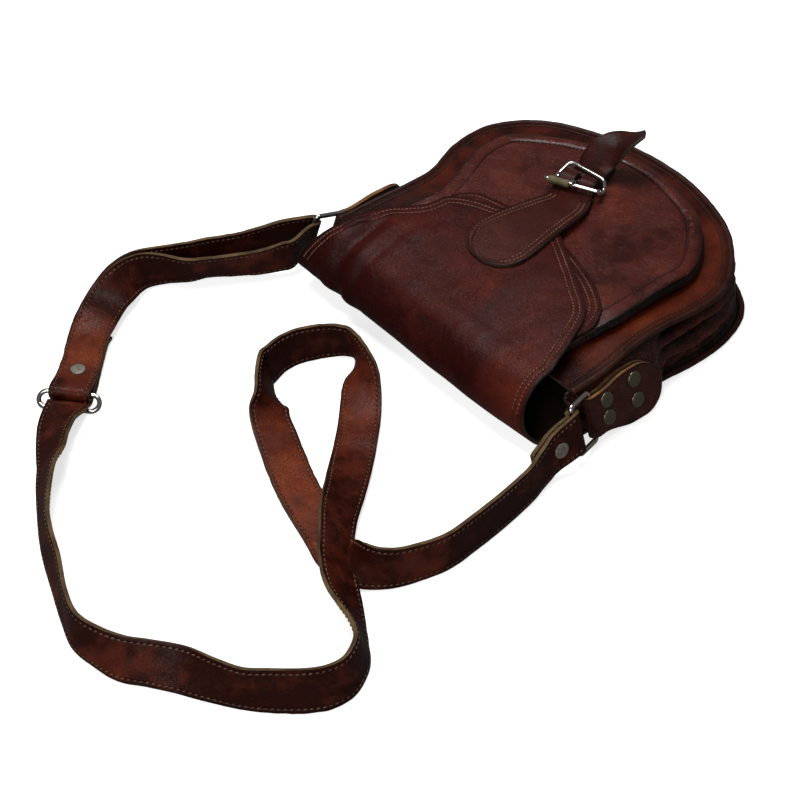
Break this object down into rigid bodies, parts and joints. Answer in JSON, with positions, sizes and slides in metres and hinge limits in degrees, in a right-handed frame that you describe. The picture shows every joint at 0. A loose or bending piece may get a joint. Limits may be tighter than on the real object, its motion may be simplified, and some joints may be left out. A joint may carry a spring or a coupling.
{
  "type": "leather crossbody bag",
  "caption": "Oxblood leather crossbody satchel with rounded front flap, roller-buckle closure, front pocket, riveted ring tabs and adjustable strap, lying on its back",
  "frame": {"origin": "on the underside of the flat back panel, 125 mm below the top fold and on the middle of that fold", "axes": "+X across the bag toward the tab with the loose strap end, +Y from the top fold to the lower edge, +Z out of the front; the bag lies on its back on the ground at Z 0"},
  "size_m": [0.3964, 0.5479, 0.0935],
  "materials": {
    "leather_red": "oxblood pull-up leather, smooth with fine grain and wear",
    "leather_dark": "darker oxblood leather of gusset, piping and linings",
    "leather_strap": "strap leather with worn grain and pale raw edges",
    "leather_tab": "thick raw-edged harness leather",
    "nickel_wire": "nickel-plated wire, lightly worn",
    "aged_brass": "dull aged brass rivets and roller"
  },
  "bodies": {
    "bag": {"back_panel": "leather_dark", "gusset": "leather_dark", "front_panel": "leather_red", "back_piping": "leather_dark", "front_piping": "leather_dark", "pocket_gusset": "leather_dark", "pocket_panel": "leather_red", "buckle_chape": "leather_dark", "tab_left": "leather_tab", "tab_right": "leather_tab", "tab_rivet_left_1": "aged_brass", "tab_rivet_left_2": "aged_brass", "tab_rivet_left_3": "aged_brass", "tab_rivet_left_4": "aged_brass", "tab_rivet_right_1": "aged_brass", "tab_rivet_right_2": "aged_brass", "tab_rivet_right_3": "aged_brass", "tab_rivet_right_4": "aged_brass", "strap": "leather_strap", "strap_return": "leather_strap", "slider_rivet": "aged_brass", "strap_end_rivet": "aged_brass"},
    "flap_fold": {"flap_fold": "leather_red"},
    "flap": {"main_flap": "leather_red", "flap_underlay": "leather_dark", "closure_billet": "leather_red"},
    "buckle": {"buckle_frame": "nickel_wire"},
    "prong": {"buckle_prong": "nickel_wire"},
    "roller": {"buckle_roller": "aged_brass"},
    "ring_right": {"ring_right": "nickel_wire"},
    "ring_left": {"ring_left": "nickel_wire"},
    "slider": {"slider": "nickel_wire"}
  },
  "joints": [
    {"name": "flap_fold_turn", "type": "hinge", "parent": "bag", "child": "flap_fold", "pos_m": [0, -0.108, 0.0011], "axis": [1, 0, 0], "range_deg": [0, 38], "deforming": ["closure_billet"]},
    {"name": "flap_turn", "type": "hinge", "parent": "flap_fold", "child": "flap", "pos_m": [0, -0.101, 0.0495], "axis": [1, 0, 0], "range_deg": [0, 85], "deforming": ["closure_billet"]},
    {"name": "buckle_tilt", "type": "hinge", "parent": "bag", "child": "buckle", "pos_m": [-0.01392, 0.0363, 0.06282], "axis": [0.9616, 0.2743, 0], "range_deg": [-6, 6], "deforming": ["closure_billet"]},
    {"name": "prong_lift", "type": "hinge", "parent": "buckle", "child": "prong", "pos_m": [-0.01392, 0.0363, 0.06282], "axis": [-0.9616, -0.2743, 0], "range_deg": [0, 80], "deforming": ["closure_billet"]},
    {"name": "roller_spin", "type": "hinge", "parent": "buckle", "child": "roller", "pos_m": [-0.02691, 0.01942, 0.068], "axis": [0.9087, 0.4175, 0], "continuous": true},
    {"name": "ring_right_swing", "type": "hinge", "parent": "bag", "child": "ring_right", "pos_m": [0.1295, -0.086, 0.0212], "axis": [-0.342, 0, 0.9397], "range_deg": [-18, 20], "deforming": ["strap"]},
    {"name": "ring_left_swing", "type": "hinge", "parent": "bag", "child": "ring_left", "pos_m": [-0.1245, -0.086, 0.0212], "axis": [-0.342, 0, -0.9397], "range_deg": [-18, 20], "deforming": ["strap", "strap_return"]},
    {"name": "slider_tilt", "type": "hinge", "parent": "bag", "child": "slider", "pos_m": [-0.10956, -0.31781, 0.0078], "axis": [-0.7431, -0.6691, 0], "range_deg": [0, 25], "deforming": ["strap", "strap_return"]}
  ],
  "couplings": [
    {"joint": "flap_turn", "follows": "flap_fold_turn", "ratio": 2.2365}
  ]
}
